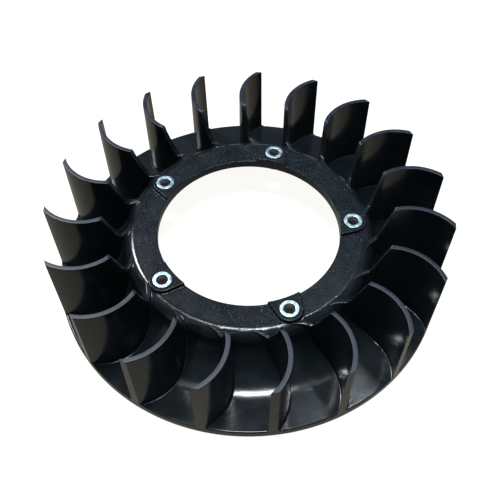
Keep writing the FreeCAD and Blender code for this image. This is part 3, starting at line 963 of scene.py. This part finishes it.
for number in range(BLADES):
    skin = blade(number + 1, number * 2 * np.pi / BLADES)
    # the second finish is the painted sky sheen on the level tops
    settle(skin, [GLOSS, EDGE], "fan_plastic", "blade_%02d" % (number + 1))
print(BLADES, "blades,", BLADES * len(blade_quads), "faces before their bevels")

# %% [markdown]
# ## Sleeves
# Each sleeve is turned steel with a broken edge outside and a small countersink inside, plated
# with zinc. It is the same kind of revolved profile as the ring, about the bolt's own axis.

# %% Sleeves
SLEEVE_BEVEL = 0.35 * MM
HOLE_BEVEL = 0.45 * MM
HOLE_BAND = 0.1 * MM           # faces this near the hole's own radius get the painted shade
SLEEVE_STEPS = 96


def sleeve(number, angle):
    """Sleeve in section: outer wall, bevels, two end faces and the bolt hole."""
    outer = SLEEVE_RADIUS
    points = [(outer, SLEEVE_LOW), (outer, SLEEVE_HIGH), (BOLT_HOLE, SLEEVE_HIGH),
              (BOLT_HOLE, SLEEVE_LOW)]
    sizes = (SLEEVE_BEVEL, SLEEVE_BEVEL, HOLE_BEVEL, HOLE_BEVEL)
    corners = [soften(points[k - 1], points[k], points[(k + 1) % 4], sizes[k], 4)
               for k in range(4)]
    profile = []
    for k in range(4):
        profile += [corners[k], side(corners[k][-1], corners[(k + 1) % 4][0])]
    piece = turned("sleeve_skin_%d" % number, profile, SLEEVE_STEPS, sleeve_centre(angle))
    away = face_middles(piece.data)[:, :2] - sleeve_centre(angle)
    inside = np.linalg.norm(away, axis=1) < BOLT_HOLE + HOLE_BAND
    piece.data.polygons.foreach_set("material_index", inside.astype(np.int32))
    # the second finish is the painted shade inside the bolt hole
    return settle(piece, [ZINC, HOLE_SHADE], "sleeve_steel", "sleeve_%d" % number)


for number, angle in enumerate(SLEEVE_ANGLES, start=1):
    piece = sleeve(number, angle)
print("sleeves:", len(piece.data.polygons), "faces each")

# %% [markdown]
# ## Floor
# The fan lies on a plain card. The card glows almost white by itself, so that shadows hardly
# show, and it is left out of mirror reflections, because black gloss would show it as grey.

# %% Floor
HALF = 30.0
FLOOR_GAP = 0.2 * MM           # how far the card lies under the fan
FIBRES = 300 * MM
floor_mesh = bpy.data.meshes.new("studio_floor")
floor_mesh.from_pydata([(-HALF, -HALF, 0), (HALF, -HALF, 0), (HALF, HALF, 0), (-HALF, HALF, 0)],
                       [], [(0, 1, 2, 3)])
studio_floor = bpy.data.objects.new("studio_floor", floor_mesh)
studio_floor.location.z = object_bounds()[0][2] - FLOOR_GAP
bpy.context.scene.collection.objects.link(studio_floor)
paper, paper_tree, paper_place = new_finish("smooth_white_card")
fibres = add_node(paper_tree, "ShaderNodeTexNoise", None, Vector=paper_place,
                  Scale=1 / FIBRES)
tone = add_node(paper_tree, "ShaderNodeMapRange", SMOOTH, Value=fibres, From_Min=0.3,
                From_Max=0.7)
paper_colour = add_node(paper_tree, "ShaderNodeMix", COLOUR, Factor=tone, i6=linear("#64635f"),
                        i7=linear("#6a6965"))
finish_with(paper_tree, Base_Color=paper_colour, Roughness=0.9,
            Emission_Color=linear("#fffefb"), Emission_Strength=0.95)
floor_mesh.materials.append(paper)
studio_floor.visible_glossy = False
print("floor at %.2f mm" % (studio_floor.location.z / MM))

# %% [markdown]
# ## Light
# Gloss black shows only what it reflects, so every light is placed for a reflection: a panel
# straight above for the bright lines along the shoulder and the hollow, small lamps right and
# left for the glints between the blades, a wide faint blue panel at the right back for a cool
# bloom, and a tall window at the left back for the far shoulder. The sky is dim, cool above and
# warm below, and dark on the side of the camera.

# %% Sky
world = bpy.data.worlds.new("studio")
world.use_nodes = True
world.node_tree.nodes.clear()
sky = world.node_tree
direction = add_node(sky, "ShaderNodeTexCoord").outputs["Generated"]
sky_axes = add_node(sky, "ShaderNodeSeparateXYZ", None, Vector=direction)
glow = add_node(sky, "ShaderNodeMapRange", SMOOTH, Value=sky_axes.outputs["Y"], From_Min=-0.92,
                From_Max=-0.62, To_Min=0.05, To_Max=0.34)
above = add_node(sky, "ShaderNodeMapRange", SMOOTH, Value=sky_axes.outputs["Z"], From_Min=-0.1,
                 From_Max=0.3)
sky_colour = add_node(sky, "ShaderNodeMix", COLOUR, Factor=above, i6=(1.0, 0.95, 0.80, 1.0),
                      i7=(0.60, 0.69, 0.84, 1.0))
backdrop = add_node(sky, "ShaderNodeBackground", None, Color=sky_colour, Strength=glow)
add_node(sky, "ShaderNodeOutputWorld", None, Surface=backdrop)
bpy.context.scene.world = world
print(len(sky.nodes), "nodes in the sky")


# %% Lights
def soft_light(name, place, size, brightness, colour=(1.0, 1.0, 1.0)):
    """A rectangular panel facing the fan; power is brightness times pi times its area."""
    data = bpy.data.lights.new(name, "AREA")
    data.shape = "RECTANGLE"
    data.size, data.size_y = size
    data.energy = brightness * np.pi * size[0] * size[1]
    data.color = colour
    lamp = bpy.data.objects.new(name, data)
    lamp.location = place
    lamp.rotation_euler = (-Vector(place)).to_track_quat("-Z", "Y").to_euler()
    bpy.context.scene.collection.objects.link(lamp)
    return lamp


soft_light("ceiling", (0.33, 0.48, 1.2), (0.46, 0.26), 2.0, (0.50, 0.78, 1.0))
soft_light("lamp_overhead", (0.0, -0.026, 1.2), (0.30, 0.18), 80.0, (0.90, 0.97, 1.0))
soft_light("lamp_right", (0.295, 0.325, 1.2), (0.12, 0.06), 70.0)
soft_light("lamp_left", (-0.286, 0.18, 1.2), (0.08, 0.08), 100.0)
soft_light("window", (-0.64, 0.54, 0.95), (0.18, 0.30), 60.0)

# %% [markdown]
# ## Camera
# The camera looks down at the hub ring from a short distance, so the near blades are clearly
# larger than the far ones. Its axes are built from three turns and put straight into its matrix.

# %% Camera
PITCH = np.radians(53.47)
HEADING = np.radians(0.28)
ROLL = np.radians(-0.22)
AIM = turn_about_axis(np.array([0.67, -17.2, 0.0]) * MM, HEADING)
AIM[2] += RING_TOP
STAND_OFF = 405.7 * MM
FOCAL_MM, SENSOR_MM = 48.83, 36.0
NEAR_CLIP = 10 * MM
forward = turn_about_axis(np.array([0.0, np.cos(PITCH), -np.sin(PITCH)]), HEADING)
level = turn_about_axis(np.array([1.0, 0.0, 0.0]), HEADING)
upward = np.cross(level, forward)
right = np.cos(ROLL) * level + np.sin(ROLL) * upward
overhead = np.cos(ROLL) * upward - np.sin(ROLL) * level
lens = bpy.data.cameras.new("camera")
lens.sensor_width = SENSOR_MM
lens.lens = FOCAL_MM
lens.clip_start = NEAR_CLIP
camera = bpy.data.objects.new("camera", lens)
axes = np.column_stack([right, overhead, -forward, AIM - forward * STAND_OFF])
camera.matrix_world = Matrix(np.vstack([axes, [0, 0, 0, 1]]).tolist())
bpy.context.scene.collection.objects.link(camera)
bpy.context.scene.camera = camera
bpy.context.scene.view_settings.view_transform = "Standard"
print("camera %.0f mm from its aim, looking down %.1f deg" % (STAND_OFF / MM, np.degrees(PITCH)))
